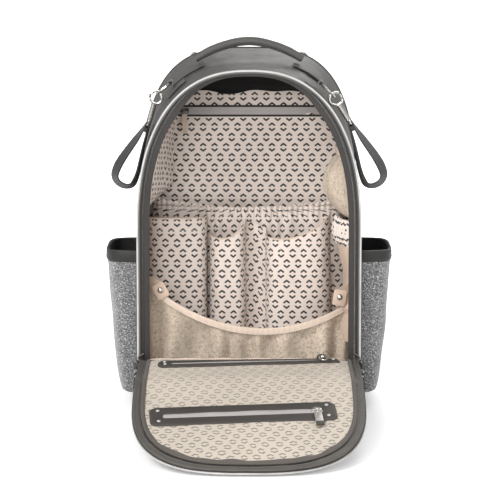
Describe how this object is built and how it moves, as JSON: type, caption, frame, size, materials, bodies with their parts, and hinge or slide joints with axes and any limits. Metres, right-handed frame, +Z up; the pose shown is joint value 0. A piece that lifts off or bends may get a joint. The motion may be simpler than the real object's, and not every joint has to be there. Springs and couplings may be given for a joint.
{
  "type": "diaper bag",
  "caption": "Backpack diaper bag standing open, its front flap unzipped and laid forward, with felt side pockets, inside pockets, carry handle, shoulder straps and stroller clips.",
  "frame": {"origin": "on the floor, at the middle of the whole object's footprint, with the flap laid forward and the bag standing on its feet", "axes": "+Z up, +Y towards the back of the bag, +X to the right of someone who faces the open front"},
  "size_m": [0.3692, 0.6065, 0.475],
  "materials": {
    "leather": "fine-grained warm grey coated fabric with a soft sheen",
    "leather_dark": "fine-grained dark grey coated fabric",
    "felt": "heathered grey felt, matt",
    "print_cloth": "beige woven lining printed with small dark chevrons, matt",
    "mesh_cloth": "beige open knitted mesh and binding, matt",
    "zip_tape": "dark grey woven tape",
    "piping": "smooth pale grey piping, satin",
    "webbing": "charcoal ribbed webbing",
    "metal": "polished nickel",
    "rubber": "moulded, matt",
    "plastic": "moulded, satin",
    "board": "stiff board"
  },
  "bodies": {
    "root": {"gusset_shell": "leather", "front_wall": "leather", "base_panel": "leather", "back_panel": "leather", "pocket_rim_left": "leather", "pocket_rim_right": "leather", "handle_tab_left": "leather", "handle_tab_right": "leather", "strap_yoke": "leather", "strap_tab_left": "leather", "strap_tab_right": "leather", "side_pocket_left": "felt", "side_pocket_right": "felt", "back_lining": "print_cloth", "gathered_pocket": "print_cloth", "bottle_pocket_left": "print_cloth", "bottle_pocket_middle": "print_cloth", "bottle_pocket_right": "print_cloth", "wall_pocket_left": "print_cloth", "mesh_front_pocket": "mesh_cloth", "wall_mesh_pocket_right": "mesh_cloth", "body_zip_tape": "zip_tape", "back_zip_tape": "zip_tape", "arch_piping": "piping", "foot_front_left": "rubber", "foot_front_right": "rubber", "foot_back_left": "rubber", "foot_back_right": "rubber", "base_board": "board"},
    "handle": {"handle": "leather"},
    "ring_left": {"clip_ring_left": "metal"},
    "ring_right": {"clip_ring_right": "metal"},
    "hook_left": {"clip_hook_left": "metal"},
    "hook_right": {"clip_hook_right": "metal"},
    "gate_left": {"clip_gate_left": "metal"},
    "gate_right": {"clip_gate_right": "metal"},
    "loop_left": {"clip_loop_left": "webbing"},
    "loop_right": {"clip_loop_right": "webbing"},
    "back_slider": {"back_zip_slider": "metal"},
    "back_pull": {"back_zip_pull": "mesh_cloth"},
    "main_slider_left": {"main_slider_left": "metal"},
    "main_slider_right": {"main_slider_right": "metal"},
    "main_pull_left": {"main_pull_left": "leather_dark"},
    "main_pull_right": {"main_pull_right": "leather_dark"},
    "strap_left": {"shoulder_strap_left": "leather", "strap_web_left": "webbing"},
    "strap_right": {"shoulder_strap_right": "leather", "strap_web_right": "webbing"},
    "adjuster_left": {"strap_adjuster_left": "plastic"},
    "adjuster_right": {"strap_adjuster_right": "plastic"},
    "flap_lower": {"flap_lower_panel": "leather", "front_pocket": "leather", "flap_zip_plate_near": "leather_dark"},
    "flap_upper": {"flap_upper_panel": "leather", "flap_zip_plate_far": "leather_dark"},
    "near_slider": {"flap_zip_slider_near": "metal"},
    "near_pull": {"flap_zip_pull_near": "metal"},
    "far_slider": {"flap_zip_slider_far": "metal"},
    "far_pull": {"flap_zip_pull_far": "metal"}
  },
  "joints": [
    {"name": "flap_hinge", "type": "hinge", "parent": "root", "child": "flap_lower", "pos_m": [0, 0.065, 0.066], "axis": [-1, 0, 0], "range_deg": [0, 90]},
    {"name": "flap_bend", "type": "hinge", "parent": "flap_lower", "child": "flap_upper", "pos_m": [0, -0.062, 0.066], "axis": [-1, 0, 0], "range_deg": [0, 13.9]},
    {"name": "handle_fold", "type": "hinge", "parent": "root", "child": "handle", "pos_m": [0, 0.162, 0.4424], "axis": [1, 0, 0], "range_deg": [-45, 45], "stiffness_Nm_per_rad": 0.6},
    {"name": "ring_swing_left", "type": "hinge", "parent": "root", "child": "ring_left", "pos_m": [-0.1, 0.127, 0.418], "axis": [0, 1, 0], "range_deg": [0, 45]},
    {"name": "hook_swing_left", "type": "hinge", "parent": "ring_left", "child": "hook_left", "pos_m": [-0.11885, 0.127, 0.40219], "axis": [0, 1, 0], "range_deg": [0, 60]},
    {"name": "gate_press_left", "type": "hinge", "parent": "hook_left", "child": "gate_left", "pos_m": [-0.12807, 0.127, 0.39797], "axis": [0, 1, 0], "range_deg": [0, 20], "stiffness_Nm_per_rad": 0.02},
    {"name": "loop_swivel_left", "type": "hinge", "parent": "hook_left", "child": "loop_left", "pos_m": [-0.12921, 0.127, 0.36604], "axis": [-0.2756, 0, -0.9613], "range_deg": [-12, 4]},
    {"name": "main_zip_left", "type": "slide", "parent": "root", "child": "main_slider_left", "axis": [0, 0, 1], "range_m": [0, 0.2]},
    {"name": "main_pull_swing_left", "type": "hinge", "parent": "main_slider_left", "child": "main_pull_left", "pos_m": [-0.145, 0.06035, 0.0556], "axis": [-1, 0, 0], "range_deg": [0, 100]},
    {"name": "strap_splay_left", "type": "hinge", "parent": "root", "child": "strap_left", "pos_m": [-0.056, 0.2803, 0.436], "axis": [-0.1265, 0, -0.992], "range_deg": [-15, 15]},
    {"name": "adjuster_slide_left", "type": "slide", "parent": "strap_left", "child": "adjuster_left", "axis": [-0.1261, -0.0846, -0.9884], "range_m": [-0.02, 0.06]},
    {"name": "ring_swing_right", "type": "hinge", "parent": "root", "child": "ring_right", "pos_m": [0.0905, 0.087, 0.4205], "axis": [0, -1, 0], "range_deg": [0, 45]},
    {"name": "hook_swing_right", "type": "hinge", "parent": "ring_right", "child": "hook_right", "pos_m": [0.1079, 0.087, 0.4031], "axis": [0, -1, 0], "range_deg": [0, 60]},
    {"name": "gate_press_right", "type": "hinge", "parent": "hook_right", "child": "gate_right", "pos_m": [0.11792, 0.087, 0.40159], "axis": [0, -1, 0], "range_deg": [0, 20], "stiffness_Nm_per_rad": 0.02},
    {"name": "loop_swivel_right", "type": "hinge", "parent": "hook_right", "child": "loop_right", "pos_m": [0.12782, 0.087, 0.37122], "axis": [0.5299, 0, -0.848], "range_deg": [-12, 12]},
    {"name": "main_zip_right", "type": "slide", "parent": "root", "child": "main_slider_right", "axis": [0, 0, 1], "range_m": [0, 0.2]},
    {"name": "main_pull_swing_right", "type": "hinge", "parent": "main_slider_right", "child": "main_pull_right", "pos_m": [0.145, 0.06035, 0.0556], "axis": [-1, 0, 0], "range_deg": [0, 100]},
    {"name": "strap_splay_right", "type": "hinge", "parent": "root", "child": "strap_right", "pos_m": [0.056, 0.2803, 0.436], "axis": [0.1265, 0, -0.992], "range_deg": [-15, 15]},
    {"name": "adjuster_slide_right", "type": "slide", "parent": "strap_right", "child": "adjuster_right", "axis": [0.1261, -0.0846, -0.9884], "range_m": [-0.02, 0.06]},
    {"name": "back_zip", "type": "slide", "parent": "root", "child": "back_slider", "axis": [1, 0, 0], "range_m": [0, 0.185]},
    {"name": "back_pull_swing", "type": "hinge", "parent": "back_slider", "child": "back_pull", "pos_m": [-0.086, 0.2426, 0.3706], "axis": [-1, 0, 0], "range_deg": [0, 100]},
    {"name": "near_zip", "type": "slide", "parent": "flap_lower", "child": "near_slider", "axis": [-0.9945, -0.1039, -0.0117], "range_m": [0, 0.18]},
    {"name": "near_pull_swing", "type": "hinge", "parent": "near_slider", "child": "near_pull", "pos_m": [0.09156, 0.01671, 0.08216], "axis": [-0.9945, -0.1039, -0.0117], "range_deg": [0, 150]},
    {"name": "far_zip", "type": "slide", "parent": "flap_upper", "child": "far_slider", "axis": [-0.9969, -0.0762, -0.0188], "range_m": [0, 0.17]},
    {"name": "far_pull_swing", "type": "hinge", "parent": "far_slider", "child": "far_pull", "pos_m": [0.08078, -0.15469, 0.05053], "axis": [-0.9969, -0.0762, -0.0188], "range_deg": [0, 150]}
  ],
  "couplings": [
    {"joint": "flap_bend", "follows": "flap_hinge", "ratio": 0.15444}
  ]
}
